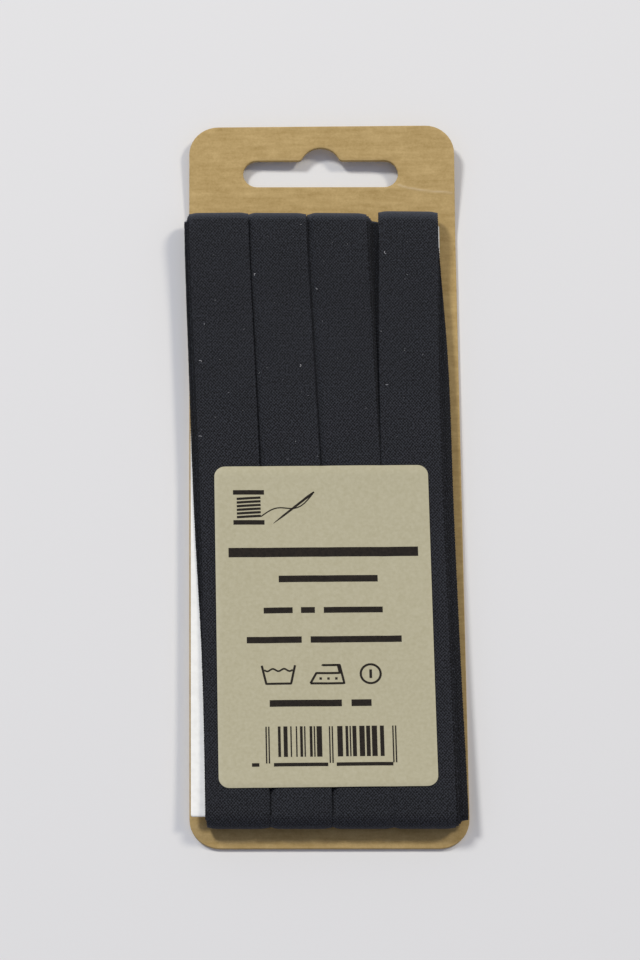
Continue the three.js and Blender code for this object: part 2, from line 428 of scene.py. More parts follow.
def build_winding_board():
    shape = bmesh.new()
    left, right = board_low.x - BOARD_SPREAD, board_high.x + BOARD_SPREAD_RIGHT
    outline = round_rectangle(left, BOARD_FOOT, right, BOARD_HEAD, BOARD_CORNER, steps=3)
    add_plate(shape, [outline], BOARD_THICKNESS, BOARD_EDGE, base=-BOARD_THICKNESS / 2)
    cut_lattice(shape, [], np.arange(BOARD_FOOT + BOARD_STEP / 2, BOARD_HEAD, BOARD_STEP))
    for vert in shape.verts:
        vert.co.z += board_level(vert.co.y)
    board = make_piece("white_winding_board", shape, board_material())
    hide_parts("winding_board")


build_winding_board()


# Cotton tape, plain-woven, a nominal 10 mm wide and 5 m long, wound round the board in four runs of up to
# six turns, from the right-hand run to the left-hand one. A run's turns lie on each other, loose in their
# folds over the board's ends and pressed flat between them, and lap the run at their right.
TAPE_WIDTH = 10.1
TAPE_LENGTH = 5000.0
TAPE_THICKNESS = 0.19
BOARD_CLEARANCE = 0.03
TURNS_IN_RUN = 6
SIDE_STEPS = 22
FOLD_STEPS = 12
# Length past the last fold under the board's foot, which is tucked in behind.
TUCKED_END = 40.0
# The tape's section is a circle squared by a power under 1, the squareness, and stretched to the width
# and the thickness. An edge dips over the tuck width, and the last two set how close the waves are.
SECTION_POINTS = 28
TAPE_SIZES = {"Width": TAPE_WIDTH, "Thickness": TAPE_THICKNESS, "Squareness": 0.22, "Tuck Width": 1.3,
              "Waves Across": 1.6, "Waves Along": 0.07}
# Left edge of each run's top turn at five even places from the board's head to its foot, and how far to
# the right of it the lowest turn lies there. The fold at the head stands out by the run's lift, and its
# right end above its left one by the rise. The top turn's left edge dips by the tuck, and lower ones less.
RUNS = [
    {"edge": (-23.05, -22.05, -21.1, -20.5, -20.05), "drift": (-0.8, -1.05, -1.1, -0.4, -0.35),
     "lift": 0.1, "rise": 0.2, "tuck": 0.06},
    {"edge": (-13.05, -12.0, -10.85, -10.3, -9.9), "drift": (1.0, 0.7, 0.3, 0.0, -0.4),
     "lift": 0.12, "rise": 0.0, "tuck": 0.8},
    {"edge": (-2.65, -1.75, -0.65, -0.1, 0.25), "drift": (2.15, 1.75, 1.0, 0.3, -0.25),
     "lift": 0.15, "rise": -0.05, "tuck": 0.8},
    {"edge": (9.65, 9.3, 9.5, 10.05, 10.45), "drift": (0.0, 1.75, 1.9, 1.9, 2.15),
     "lift": 0.55, "rise": -0.05, "tuck": 0.1},
]
# Share of its run's drift that each turn has, from the lowest to the top one.
DRIFT_SHARES = (1.0, 0.96, 0.45, 0.36, 0.22, 0.0)
# The rise fades away from the head by this power, and in a fold the tuck is this many times less.
RISE_FADE = 6
FOLD_TUCK_PARTS = 6
EDGE_CURL = 0.05
FOLD_CURL = 0.17
TOP_WAVES = 0.05
# Width of a warp thread and of a weft thread, and the angle by which noise shifts their pattern.
WARP_PITCH = 0.26
WEFT_PITCH = 0.3
THREAD_WANDER = 4.0
FLUFF_STRETCH = (3.2, 2.4, 1)
# How much each part of the cloth's pattern adds to its shade, and the gain and the shift that bring the
# sum between the darkest shade and the palest one. The fold part is a painted highlight on the head folds,
# and the part for covered turns is painted shade on every turn that lies under another.
SHADE_PARTS = {"thread": 0.5, "weave": 0.85, "fluff": 4.2, "fold": 0.6, "painted_under_shade": -0.5, "patches": 0.25}
SHADE_GAIN = 0.9
SHADE_SHIFT = -1.71
TAPE_DARK = (0.002, 0.002, 0.0025, 1)
TAPE_PALE = (0.0315, 0.034, 0.042, 1)
# Painted highlight: a pale bluish colour mixed into the folds over the board's head, which face the lamps.
FOLD_HIGHLIGHT_TINT = (0.05, 0.058, 0.077, 1)
FOLD_HIGHLIGHT_SHARE = 0.6
FLUFF_RELIEF = 0.5
TAPE_ROUGHNESS = 0.85
TAPE_GLOSS = 0.2
SHEEN = {"Sheen Weight": 0.17, "Sheen Roughness": 0.5, "Sheen Tint": (0.82, 0.87, 1.0, 1)}
tape_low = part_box("tape_winding")[0] / MM


def turn_height(turn, y):
    """Distance of a turn's middle surface from the board's mid-plane."""
    inner = BOARD_THICKNESS / 2 + BOARD_CLEARANCE + TAPE_THICKNESS / 2
    outer = board_level(y) - tape_low.z - TAPE_THICKNESS / 2
    return inner + (outer - inner) * turn / (TURNS_IN_RUN - 1)


def winding_front(y):
    """Height of the winding's front surface."""
    return 2 * board_level(y) - tape_low.z


def smooth_between(values, share):
    """Smooth curve through evenly spaced values, at a share of the way from the first to the last."""
    last = len(values) - 1
    index = min(int(share * last), last - 1)
    t = share * last - index
    before, start = values[max(index - 1, 0)], values[index]
    end, after = values[index + 1], values[min(index + 2, last)]
    bend = 2 * before - 5 * start + 4 * end - after
    twist = 3 * (start - end) + after - before
    return start + (end - before) * t / 2 + bend * t**2 / 2 + twist * t**3 / 2


def turn_middle(run, turn, share):
    """Middle of a turn across the card, at a share of the way from the board's head to its foot."""
    drift = DRIFT_SHARES[turn] * smooth_between(RUNS[run]["drift"], share)
    return smooth_between(RUNS[run]["edge"], share) + drift + TAPE_WIDTH / 2


def turn_marks(run, turn):
    """Which edges of a turn show, and so get selvedge loops, and whether another turn covers it. A covered
    turn gets painted shade.
    """
    top = turn == TURNS_IN_RUN - 1
    return {"left_loops": top or run == 0, "right_loops": top or run == len(RUNS) - 1, "painted_under_shade": not top}


def front_stations(run, turn):
    """Stations down a turn's front. Left and right are the dips of its edges there."""
    for share in np.linspace(0, 1, SIDE_STEPS + 1):
        y = BOARD_HEAD - share * (BOARD_HEAD - BOARD_FOOT)
        yield {
            "place": (turn_middle(run, turn, share), y, board_level(y) + turn_height(turn, y)),
            "outward": (0, 0, 1),
            "left": RUNS[run]["tuck"] * turn / (TURNS_IN_RUN - 1),
            "right": EDGE_CURL,
            "rise": RUNS[run]["rise"] * (1 - share) ** RISE_FADE,
            "waves": TOP_WAVES if turn == TURNS_IN_RUN - 1 else 0,
            **turn_marks(run, turn),
        }


def fold_stations(run, turn, share, side):
    """The fold over the board's head, where side is 1, or under its foot, where side is -1."""
    end = BOARD_HEAD if side > 0 else BOARD_FOOT
    radius = turn_height(turn, end)
    stack_share = turn / (TURNS_IN_RUN - 1)
    lift = RUNS[run]["lift"] * stack_share if side > 0 else 0
    for step in range(1, FOLD_STEPS):
        angle = math.pi * step / FOLD_STEPS
        height = -side * math.cos(angle)
        y = end + side * (radius + lift) * math.sin(angle)
        yield {
            "place": (turn_middle(run, turn, share), y, board_level(end) + radius * height),
            "outward": (0, side * math.sin(angle), height),
            "left": FOLD_CURL + RUNS[run]["tuck"] * stack_share / FOLD_TUCK_PARTS,
            "right": FOLD_CURL,
            "rise": RUNS[run]["rise"] * math.sin(angle / 2) if side > 0 else 0,
            "waves": 0,
            **turn_marks(run, turn),
        }


def back_stations(run, turn, next_run, next_turn):
    """Stations up a turn's back, which crosses to where the next turn starts."""
    start, end = turn_middle(run, turn, 1), turn_middle(next_run, next_turn, 0)
    for share in np.linspace(0, 1, SIDE_STEPS + 1):
        y = BOARD_FOOT + share * (BOARD_HEAD - BOARD_FOOT)
        level = turn + share * (next_turn - turn)
        # Back turns lie under the front ones, so they get painted shade too.
        yield {
            "place": (start + share * (end - start), y, board_level(y) - turn_height(level, y)),
            "outward": (0, 0, -1), "left": EDGE_CURL, "right": EDGE_CURL,
            "rise": 0, "waves": 0, "left_loops": False, "right_loops": False, "painted_under_shade": True,
        }


def tape_stations():
    """Stations along the tape, with their distances along a longer path, whose last part the tape takes."""
    turns = [(run, turn) for run in reversed(range(len(RUNS))) for turn in range(TURNS_IN_RUN)]
    stations = []
    for (run, turn), (next_run, next_turn) in zip(turns, turns[1:] + [(0, TURNS_IN_RUN - 1)]):
        stations += front_stations(run, turn)
        stations += fold_stations(run, turn, 1, -1)
        stations += back_stations(run, turn, next_run, next_turn)
        stations += fold_stations(next_run, next_turn, 0, 1)
    along = 0.0
    for before, station in zip([stations[0]] + stations, stations):
        along += math.dist(before["place"], station["place"])
        station["along"] = along
    last_back = stations[-SIDE_STEPS - FOLD_STEPS]["along"]
    finish = last_back + TUCKED_END
    return [s for s in stations if finish - TAPE_LENGTH <= s["along"] <= finish]


def guide_mesh(name, lines):
    """A mesh of open lines, whose points carry the values that a shape tree reads."""
    mesh = bpy.data.meshes.new(name)
    points = [point for line in lines for point in line]
    starts = np.cumsum([0] + [len(line) for line in lines])
    edges = [(i, i + 1) for start, end in zip(starts, starts[1:]) for i in range(start, end - 1)]
    mesh.from_pydata([point["place"] for point in points], edges, [])
    for key in points[0]:
        if key == "place":
            continue
        values = np.array([point[key] for point in points], dtype=np.float32)
        kind, field = ("FLOAT_VECTOR", "vector") if values.ndim == 2 else ("FLOAT", "value")
        mesh.attributes.new(key, kind, "POINT").data.foreach_set(field, values.ravel())
    return mesh


def shape_tree(name, sizes):
    """A Geometry Nodes tree with a named input for each size. Gives the tree and its inputs."""
    tree = bpy.data.node_groups.new(name, "GeometryNodeTree")
    for way in ("INPUT", "OUTPUT"):
        tree.interface.new_socket("Geometry", in_out=way, socket_type="NodeSocketGeometry")
    for label, size in sizes.items():
        kind = "NodeSocketInt" if isinstance(size, int) else "NodeSocketFloat"
        tree.interface.new_socket(label, in_out="INPUT", socket_type=kind)
    return tree, tree.nodes.new("NodeGroupInput").outputs


def end_tree(tree, geometry, material):
    """Ends a tree in plain faces of one material."""
    realized = new_node(tree, "GeometryNodeRealizeInstances", {"Geometry": geometry})
    finished = new_node(tree, "GeometryNodeSetMaterial", {
        "Geometry": realized.outputs[0], "Material": material})
    new_node(tree, "NodeGroupOutput", {"Geometry": finished.outputs[0]})


def grow(name, guide, tree, sizes):
    """Runs a tree on a guide mesh, with its sizes set, and keeps the result as a plain mesh."""
    grown = bpy.data.objects.new(name, guide)
    scene.collection.objects.link(grown)
    modifier = grown.modifiers.new(name, "NODES")
    modifier.node_group = tree
    for socket in tree.interface.items_tree:
        if socket.in_out == "INPUT" and socket.name in sizes:
            modifier[socket.identifier] = sizes[socket.name]
    evaluated = grown.evaluated_get(bpy.context.evaluated_depsgraph_get())
    mesh = bpy.data.meshes.new_from_object(evaluated)
    grown.modifiers.remove(modifier)
    bpy.data.objects.remove(grown)
    return mesh


def maths(tree, operation, first, second=0.0, third=0.0):
    return new_node(tree, "ShaderNodeMath", {0: first, 1: second, 2: third}, operation=operation).outputs[0]


def stored(tree, name, kind="FLOAT"):
    """Reads a value that the guide mesh carries."""
    read = new_node(tree, "GeometryNodeInputNamedAttribute", {"Name": name}, data_type=kind)
    return read.outputs["Attribute"]


def split_position(tree):
    position = new_node(tree, "GeometryNodeInputPosition").outputs[0]
    return new_node(tree, "ShaderNodeSeparateXYZ", {0: position}).outputs


def tape_section(tree, given):
    """Flat section with rounded edges, whose points know how far across the tape they lie."""
    circle = new_node(tree, "GeometryNodeCurvePrimitiveCircle", {
        "Resolution": SECTION_POINTS, "Radius": 1.0})
    on_circle = split_position(tree)
    squared = []
    for axis in ("X", "Y"):
        size = maths(tree, "POWER", maths(tree, "ABSOLUTE", on_circle[axis]), given["Squareness"])
        squared.append(maths(tree, "MULTIPLY", size, maths(tree, "SIGN", on_circle[axis])))
    half_thickness = maths(tree, "MULTIPLY", given["Thickness"], 0.5)
    half_width = maths(tree, "MULTIPLY", given["Width"], 0.5)
    flat_place = new_node(tree, "ShaderNodeCombineXYZ", {
        "X": maths(tree, "MULTIPLY", squared[0], half_thickness),
        "Y": maths(tree, "MULTIPLY", squared[1], half_width)})
    measured = new_node(tree, "GeometryNodeStoreNamedAttribute", {
        "Geometry": circle.outputs[0], "Name": "across", "Value": maths(tree, "MULTIPLY", squared[1], -0.5)})
    section = new_node(tree, "GeometryNodeSetPosition", {
        "Geometry": measured.outputs[0], "Position": flat_place.outputs[0]})
    return section.outputs[0]


def tape_tree(sizes, material):
    """Sweeps the section along the path, then dips the edges of the tape, and waves and slants it."""
    tree, given = shape_tree("tape_sweep", sizes)
    path = new_node(tree, "GeometryNodeMeshToCurve", {"Mesh": given["Geometry"]})
    outward = stored(tree, "outward", "FLOAT_VECTOR")
    upright = new_node(
        tree, "GeometryNodeSetCurveNormal", {"Curve": path.outputs[0], "Normal": outward}, mode="FREE")
    cloth = new_node(tree, "GeometryNodeCurveToMesh", {
        "Curve": upright.outputs[0], "Profile Curve": tape_section(tree, given), "Fill Caps": True})

    across = stored(tree, "across")
    inward_share = maths(tree, "SUBTRACT", 0.5, maths(tree, "ABSOLUTE", across))
    dip = new_node(tree, "ShaderNodeMapRange", {
        "Value": maths(tree, "MULTIPLY", inward_share, given["Width"]),
        "From Min": 0.0, "From Max": given["Tuck Width"], "To Min": 1.0, "To Max": 0.0},
        interpolation_type="SMOOTHSTEP").outputs[0]
    on_left = maths(tree, "LESS_THAN", across, 0.0)
    left = maths(tree, "MULTIPLY", stored(tree, "left"), on_left)
    right = maths(tree, "MULTIPLY", stored(tree, "right"), maths(tree, "SUBTRACT", 1.0, on_left))
    dipped = maths(tree, "MULTIPLY", dip, maths(tree, "ADD", left, right))

    wave_place = new_node(tree, "ShaderNodeCombineXYZ", {
        "X": maths(tree, "MULTIPLY", across, given["Waves Across"]),
        "Y": maths(tree, "MULTIPLY", stored(tree, "along"), given["Waves Along"])})
    waves = noise(tree, wave_place.outputs[0], {"Scale": 1.0, "Detail": 1.0})
    wave = maths(tree, "MULTIPLY", maths(tree, "SUBTRACT", waves, 0.5), stored(tree, "waves"))
    lifted = new_node(tree, "ShaderNodeVectorMath", {
        0: outward, "Scale": maths(tree, "SUBTRACT", wave, dipped)}, operation="SCALE")
    slanted = new_node(tree, "ShaderNodeCombineXYZ", {
        "Y": maths(tree, "MULTIPLY", stored(tree, "rise"), across)})
    offset = new_node(tree, "ShaderNodeVectorMath", {
        0: lifted.outputs[0], 1: slanted.outputs[0]}, operation="ADD")
    settled = new_node(tree, "GeometryNodeSetPosition", {
        "Geometry": cloth.outputs[0], "Offset": offset.outputs[0]})
    end_tree(tree, settled.outputs[0], material)
    return tree


def cotton_material():
    """Charcoal weave with fluff and soft patches, with a pale bluish painted highlight on the folds over the
    board's head, and painted shade on the turns that other turns cover.
    """
    material, tree, shader = new_material("cotton_weave", TAPE_DARK, TAPE_ROUGHNESS, TAPE_GLOSS)
    for name, value in SHEEN.items():
        shader.inputs[name].default_value = value
    across = maths(tree, "MULTIPLY", marked(tree, "across"), TAPE_WIDTH)
    along = marked(tree, "along")
    on_cloth = new_node(tree, "ShaderNodeCombineXYZ", {"X": across, "Y": along}).outputs[0]
    wander = maths(tree, "MULTIPLY", noise(tree, on_cloth, {"Scale": 0.9, "Detail": 3.0}), THREAD_WANDER)
    waves = []
    for place, pitch in ((across, WARP_PITCH), (along, WEFT_PITCH)):
        turn = maths(tree, "MULTIPLY_ADD", place, math.pi / pitch, wander)
        waves.append(maths(tree, "COSINE", turn))
    weave = maths(tree, "MULTIPLY", waves[0], waves[1])
    thread = maths(tree, "ABSOLUTE", weave)
    stretched = new_node(tree, "ShaderNodeMapping", {"Vector": on_cloth, "Scale": FLUFF_STRETCH})
    fluff = noise(tree, stretched.outputs[0], {"Scale": 1.0, "Detail": 2.0, "Roughness": 0.8})
    facing = new_node(tree, "ShaderNodeSeparateXYZ", {0: marked(tree, "outward", "Vector")})
    # Painted highlight: the folds over the board's head, which face the lamps, are made paler and bluer.
    head_fold_highlight = maths(tree, "MAXIMUM", facing.outputs["Y"], 0.0)
    patches = noise(tree, on_cloth, {"Scale": 0.12, "Detail": 2.0})
    # Painted shade: turns that other turns cover are made darker.
    levels = {"thread": thread, "weave": weave, "fluff": fluff, "fold": head_fold_highlight,
              "painted_under_shade": marked(tree, "painted_under_shade"), "patches": patches}
    shade = 0.0
    for part, amount in SHADE_PARTS.items():
        shade = maths(tree, "MULTIPLY_ADD", levels[part], amount, shade)
    shade = maths(tree, "MULTIPLY_ADD", shade, SHADE_GAIN, SHADE_SHIFT)
    tone = two_tones(tree, shade, (0.1, TAPE_DARK), (0.9, TAPE_PALE))
    fold_highlighted = mix_colours(tree, maths(tree, "MULTIPLY", head_fold_highlight, FOLD_HIGHLIGHT_SHARE), tone, FOLD_HIGHLIGHT_TINT)
    tree.links.new(fold_highlighted, shader.inputs["Base Color"])
    relief = maths(tree, "MULTIPLY_ADD", fluff, FLUFF_RELIEF, thread)
    add_relief(tree, shader, relief, {"Strength": 0.9, "Distance": 0.00006})
    return material


def build_tape():
    """Gives the tape, and its cloth in millimetres, which still carries the path's values."""
    material = cotton_material()
    guide = guide_mesh("tape_path", [tape_stations()])
    mesh = grow("tape", guide, tape_tree(TAPE_SIZES, material), TAPE_SIZES)
    cloth = mesh.copy()
    tape = make_piece("wound_cotton_tape", mesh, material, smooth_degrees=60)
    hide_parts("tape_winding")
    return tape, cloth


tape, tape_cloth = build_tape()


# Selvedge of the tape, where the weft thread turns back at each edge in a row of small tight loops. They
# are made along the edges that show, of the same dyed cotton.
LOOP_SIZES = {"Pitch": 0.46, "Reach": 0.085, "Length": 0.19, "Height": 0.08, "Smallest": 0.8, "Largest": 1.2,
              "Edge": 0.499, "Seed": 4}


def selvedge_tree(sizes, material):
    """Sets one loop after another along the tape's two edges."""
    tree, given = shape_tree("selvedge_loops", sizes)
    at_edge = maths(tree, "GREATER_THAN", maths(tree, "ABSOLUTE", stored(tree, "across")), given["Edge"])
    on_left = maths(tree, "LESS_THAN", stored(tree, "across"), 0.0)
    left = maths(tree, "MULTIPLY", stored(tree, "left_loops"), on_left)
    right = maths(tree, "MULTIPLY", stored(tree, "right_loops"), maths(tree, "SUBTRACT", 1.0, on_left))
    chosen = maths(tree, "MULTIPLY", at_edge, maths(tree, "ADD", left, right))
    edges = new_node(tree, "GeometryNodeMeshToCurve", {"Mesh": given["Geometry"], "Selection": chosen})
    spaced = new_node(tree, "GeometryNodeResampleCurve", {
        "Curve": edges.outputs[0], "Length": given["Pitch"]}, mode="LENGTH")
    loop = new_node(tree, "GeometryNodeMeshIcoSphere", {"Radius": 1.0, "Subdivisions": 1})
    turned = new_node(tree, "FunctionNodeAxesToRotation", {
        0: stored(tree, "outward", "FLOAT_VECTOR"),
        1: new_node(tree, "GeometryNodeInputTangent").outputs[0]}, primary_axis="Z", secondary_axis="Y")
    size = new_node(tree, "ShaderNodeCombineXYZ", {
        "X": given["Reach"], "Y": given["Length"], "Z": given["Height"]})
    uneven = new_node(tree, "FunctionNodeRandomValue", {
        2: given["Smallest"], 3: given["Largest"], "Seed": given["Seed"]}, data_type="FLOAT")
    scaled = new_node(tree, "ShaderNodeVectorMath", {
        0: size.outputs[0], "Scale": uneven.outputs[1]}, operation="SCALE")
    placed = new_node(tree, "GeometryNodeInstanceOnPoints", {
        "Points": spaced.outputs[0], "Instance": loop.outputs[0], "Rotation": turned.outputs[0],
        "Scale": scaled.outputs[0]})
    end_tree(tree, placed.outputs[0], material)
    return tree


def build_selvedge():
    material = tape.data.materials[0]
    mesh = grow("loops", tape_cloth, selvedge_tree(LOOP_SIZES, material), LOOP_SIZES)
    return make_piece("woven_selvedge_loops", mesh, material)


selvedge = build_selvedge()


# Lint on the tape: short curled ends of pale cotton fibre that cling to the dark cloth. A few larger
# ones lie where they catch the eye, and the rest are small and lie anywhere above the label.
LINT_SPOTS = [
    (-11.7, 36.0), (-1.4, 33.4), (10.7, 40.2), (-20.3, 26.9), (-21.2, 19.9), (13.5, 22.3), (10.5, 16.0),
    (-21.2, 6.2), (-4.0, 45.3), (-4.3, 19.3),
]
LOOSE_LINT = 46
LOOSE_ACROSS = (-21, 19)
LOOSE_ALONG = (1, 44)
LINT_LARGE = (0.9, 1.4)
LINT_SMALL = (0.2, 0.6)
LINT_HEIGHT = 0.03
LINT_TILT = 0.5
SPOTS_SEED = 7
LINT_SIZES = {"Curl": 0.22, "Thickness": 0.035, "Sweep": 2.4, "Seed": 9}
LINT_ROUGHNESS = 0.9
LINT_DIM = (0.4, 0.4, 0.42, 1)
LINT_COLOUR = (0.62, 0.62, 0.63, 1)


def lint_tree(sizes, material):
    """Sets a small arc of fibre at each spot, turned at random."""
    tree, given = shape_tree("lint_fibres", sizes)
    arc_line = new_node(tree, "GeometryNodeCurveArc", {
        "Resolution": 6, "Radius": given["Curl"], "Start Angle": 0.0, "Sweep Angle": given["Sweep"]})
    thin = new_node(tree, "GeometryNodeCurvePrimitiveCircle", {
        "Resolution": 4, "Radius": given["Thickness"]})
    fibre = new_node(tree, "GeometryNodeCurveToMesh", {
        "Curve": arc_line.outputs[0], "Profile Curve": thin.outputs[0], "Fill Caps": True})
    turn = new_node(tree, "FunctionNodeRandomValue", {
        0: (-LINT_TILT, -LINT_TILT, 0), 1: (LINT_TILT, LINT_TILT, 2 * math.pi),
        "Seed": given["Seed"]}, data_type="FLOAT_VECTOR")
    turned = new_node(tree, "FunctionNodeEulerToRotation", {0: turn.outputs[0]})
    placed = new_node(tree, "GeometryNodeInstanceOnPoints", {
        "Points": given["Geometry"], "Instance": fibre.outputs[0], "Rotation": turned.outputs[0],
        "Scale": stored(tree, "size")})
    end_tree(tree, placed.outputs[0], material)
    return tree


def lint_material():
    material, tree, shader = new_material("lint_fibre", LINT_COLOUR, LINT_ROUGHNESS)
    place = new_node(tree, "ShaderNodeTexCoord").outputs["Object"]
    grain = noise(tree, place, {"Scale": 3000.0, "Detail": 2.0})
    tree.links.new(mix_colours(tree, grain, LINT_DIM, LINT_COLOUR), shader.inputs["Base Color"])
    return material


def build_lint():
    chance = random.Random(SPOTS_SEED)
    spots = [(x, y, chance.uniform(*LINT_LARGE)) for x, y in LINT_SPOTS]
    for _ in range(LOOSE_LINT):
        x, y = chance.uniform(*LOOSE_ACROSS), chance.uniform(*LOOSE_ALONG)
        spots.append((x, y, chance.uniform(*LINT_SMALL)))
    spots = [{"place": (x, y, winding_front(y) + LINT_HEIGHT), "size": size} for x, y, size in spots]
    material = lint_material()
    guide = guide_mesh("lint_spots", [[spot] for spot in spots])
    mesh = grow("lint", guide, lint_tree(LINT_SIZES, material), LINT_SIZES)
    make_piece("lint_on_tape", mesh, material)


build_lint()


# Paper label, cut with round corners and stuck across the lower half of the runs. It follows them, with
# a faint trough over each groove between two runs.
LABEL_SIZE = (36.0, 56.8)
LABEL_CENTRE = (-0.55, -27.42)
LABEL_LEAN = math.radians(0.62)
LABEL_CORNER = 1.8
LABEL_EDGE = 0.02
LABEL_THICKNESS = 0.11
LABEL_CLEARANCE = 0.06
LABEL_STEP = 1.0
TROUGH_DEPTH = 0.07
TROUGH_WIDTH = 1.1
# Long low waves in the paper: the height of each, and its angle to the millimetre across and along.
LABEL_WAVES = [(0.03, 0.13, 0.21), (0.02, 0.37, -0.1)]
PAPER_ROUGHNESS = 0.45
PAPER_GLOSS = 0.3
PAPER_DARK = (0.455, 0.42, 0.275, 1)
PAPER_PALE = (0.52, 0.485, 0.335, 1)


def label_lift(x, y):
    """Height of the label's back, at a place on the card."""
    share = min(1, max(0, (BOARD_HEAD - y) / (BOARD_HEAD - BOARD_FOOT)))
    trough = 0.0
    for run in RUNS[1:]:
        groove = smooth_between(run["edge"], share)
        trough += math.exp(-(((x - groove) / TROUGH_WIDTH) ** 2))
    wave = sum(height * math.sin(across * x + along * y) for height, across, along in LABEL_WAVES)
    return winding_front(y) + LABEL_CLEARANCE + wave - TROUGH_DEPTH * trough


def on_label(x, y):
    """Place on the card of a point given from the label's middle."""
    turned = Matrix.Rotation(LABEL_LEAN, 2) @ Vector((x, y))
    return turned.x + LABEL_CENTRE[0], turned.y + LABEL_CENTRE[1]


def settle_on_label(verts, rise=0.0):
    for vert in verts:
        x, y = on_label(vert.co.x, vert.co.y)
        vert.co = (x, y, vert.co.z + label_lift(x, y) + rise)


def label_material():
    material, tree, shader = new_material("label_paper", PAPER_PALE, PAPER_ROUGHNESS, PAPER_GLOSS)
    sizes = {"Scale": 1800.0, "Detail": 3.0}
    grain = colour_by_grain(tree, shader, sizes, (0.25, PAPER_DARK), (0.75, PAPER_PALE))
    add_relief(tree, shader, grain, {"Strength": 0.15, "Distance": 0.00003})
    return material


def build_label():
    half_width, half_height = LABEL_SIZE[0] / 2, LABEL_SIZE[1] / 2
    shape = bmesh.new()
    outline = round_rectangle(-half_width, -half_height, half_width, half_height, LABEL_CORNER, steps=8)
    add_plate(shape, [outline], LABEL_THICKNESS, LABEL_EDGE)
    cut_lattice(
        shape,
        np.arange(-half_width + LABEL_STEP, half_width, LABEL_STEP),
        np.arange(-half_height + LABEL_STEP, half_height, LABEL_STEP * 2),
    )
    settle_on_label(shape.verts)
    label = make_piece("beige_paper_label", shape, label_material())
    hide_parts("paper_label")


build_label()


# Printing on the label, in one dark ink: a reel with a needle, lines of plain bars, three small signs,
# and a row of upright bars of random width. All of it is made of pen strokes.
INK = {"Ink Thickness": 0.02, "Cuts": 24}
INK_CLEARANCE = 0.012
INK_ROUGHNESS = 0.7
INK_GLOSS = 0.2
INK_DARK = (0.009, 0.006, 0.004, 1)
INK_PALE = (0.022, 0.016, 0.011, 1)
# Share of a line's height that its plain bars have.
BAR_SHARE = 0.46
# Bars in each line, as left and right ends, with the foot and the top of the line.
BAR_LINES = [
    {"foot": 11.1, "top": 14.7, "bars": [(-15.8, 15.9)]},
    {"foot": 6.9, "top": 9.4, "bars": [(-7.5, 9.0)]},
    {"foot": 1.5, "top": 3.7, "bars": [(-10.1, -5.3), (-3.9, -1.6), (-0.1, 9.7)]},
    {"foot": -3.8, "top": -1.4, "bars": [(-13.0, -3.9), (-2.4, 12.7)]},
    {"foot": -15.0, "top": -12.5, "bars": [(-9.4, 2.5), (4.1, 7.4)]},
    {"foot": -25.1, "top": -23.8, "bars": [(-12.5, -11.3), (-8.9, 0.0), (1.4, 10.7)]},
]
REEL = {"left": -14.9, "right": -9.7, "foot": 18.3, "top": 23.7, "flange": 0.8, "waist": 0.6, "turns": 6,
        "slant": 0.12, "pen_share": 0.62}
NEEDLE = {"point": (-8.2, 18.1), "eye": (-1.3, 23.7), "pen": 0.42}
# How far along the needle each of its pen widths lies, and that width as a share of its pen.
NEEDLE_WIDTHS = [(0, 0.15), (0.25, 0.8), (0.85, 1), (1, 0.6)]
THREAD = {"pen": 0.2, "sway": 0.9, "bend": 1.6, "points": 17}
SIGN_PEN = 0.36
TRAY = [(-10.6, -7.1), (-9.9, -10.3), (-5.8, -10.3), (-5.1, -7.1)]
WATER = {"left": -10.2, "right": -5.5, "y": -7.9, "height": 0.22, "turning": 3.4, "pen_share": 0.8,
         "points": 20}
WEDGE = [(-2.6, -10.3), (-1.6, -8.5), (2.3, -8.5), (2.0, -7.1), (-0.6, -7.1), (2.3, -7.1), (3.0, -10.3),
         (-2.6, -10.3)]
WEDGE_DOTS = {"places": (-0.9, 0.4, 1.7), "y": -9.45, "half": 0.2, "pen": 0.4}
DISC = {"centre": (7.4, -8.7), "radius": 1.65, "steps": 32, "half": 0.75, "pen_share": 1.2}
# Gaps and widths of the upright bars are counted in units, and each is drawn a little thinner than that.
# Those of random width stay clear of the long ones and of the row's end.
UPRIGHTS = {"left": -10.2, "right": 11.4, "foot": -23.1, "long_foot": -24.2, "top": -17.8, "unit": 0.227,
            "pen_share": 0.95, "clear": 2, "clear_end": 6, "gaps": (1, 3), "widths": (1, 1, 2, 2, 3, 4)}
UPRIGHT_SEED = 23


def stroke(points, pen):
    """A pen stroke through the points. The pen is one width, or one at each point."""
    pens = pen if isinstance(pen, (list, tuple)) else [pen] * len(points)
    return [{"place": (x, y, 0), "pen": width} for (x, y), width in zip(points, pens)]


def bar_strokes():
    for line in BAR_LINES:
        middle = (line["foot"] + line["top"]) / 2
        pen = BAR_SHARE * (line["top"] - line["foot"])
        for left, right in line["bars"]:
            yield stroke([(left, middle), (right, middle)], pen)


def reel_strokes():
    """A reel of thread between two flanges, a needle beside it, and the thread that joins them."""
    left, right, foot, top = REEL["left"], REEL["right"], REEL["foot"], REEL["top"]
    for y in (foot, top):
        yield stroke([(left, y), (right, y)], REEL["flange"])
    inner = (left + REEL["waist"], right - REEL["waist"])
    pitch = (top - foot - REEL["flange"]) / (REEL["turns"] + 1)
    for turn in range(1, REEL["turns"] + 1):
        y = foot + REEL["flange"] / 2 + turn * pitch
        ends = [(inner[0], y - REEL["slant"]), (inner[1], y + REEL["slant"])]
        yield stroke(ends, pitch * REEL["pen_share"])
    (x0, y0), (x1, y1) = NEEDLE["point"], NEEDLE["eye"]
    points = [(x0 + t * (x1 - x0), y0 + t * (y1 - y0)) for t, _ in NEEDLE_WIDTHS]
    yield stroke(points, [NEEDLE["pen"] * share for _, share in NEEDLE_WIDTHS])
    start = (inner[1], foot + REEL["flange"] / 2 + pitch)
    thread = []
    for t in np.linspace(0, 1, THREAD["points"]):
        sway = THREAD["sway"] * math.sin(2 * math.pi * t)
        y = start[1] + t ** THREAD["bend"] * (y1 - start[1]) + sway
        thread.append((start[0] + t * (x1 - start[0]), y))
    yield stroke(thread, THREAD["pen"])


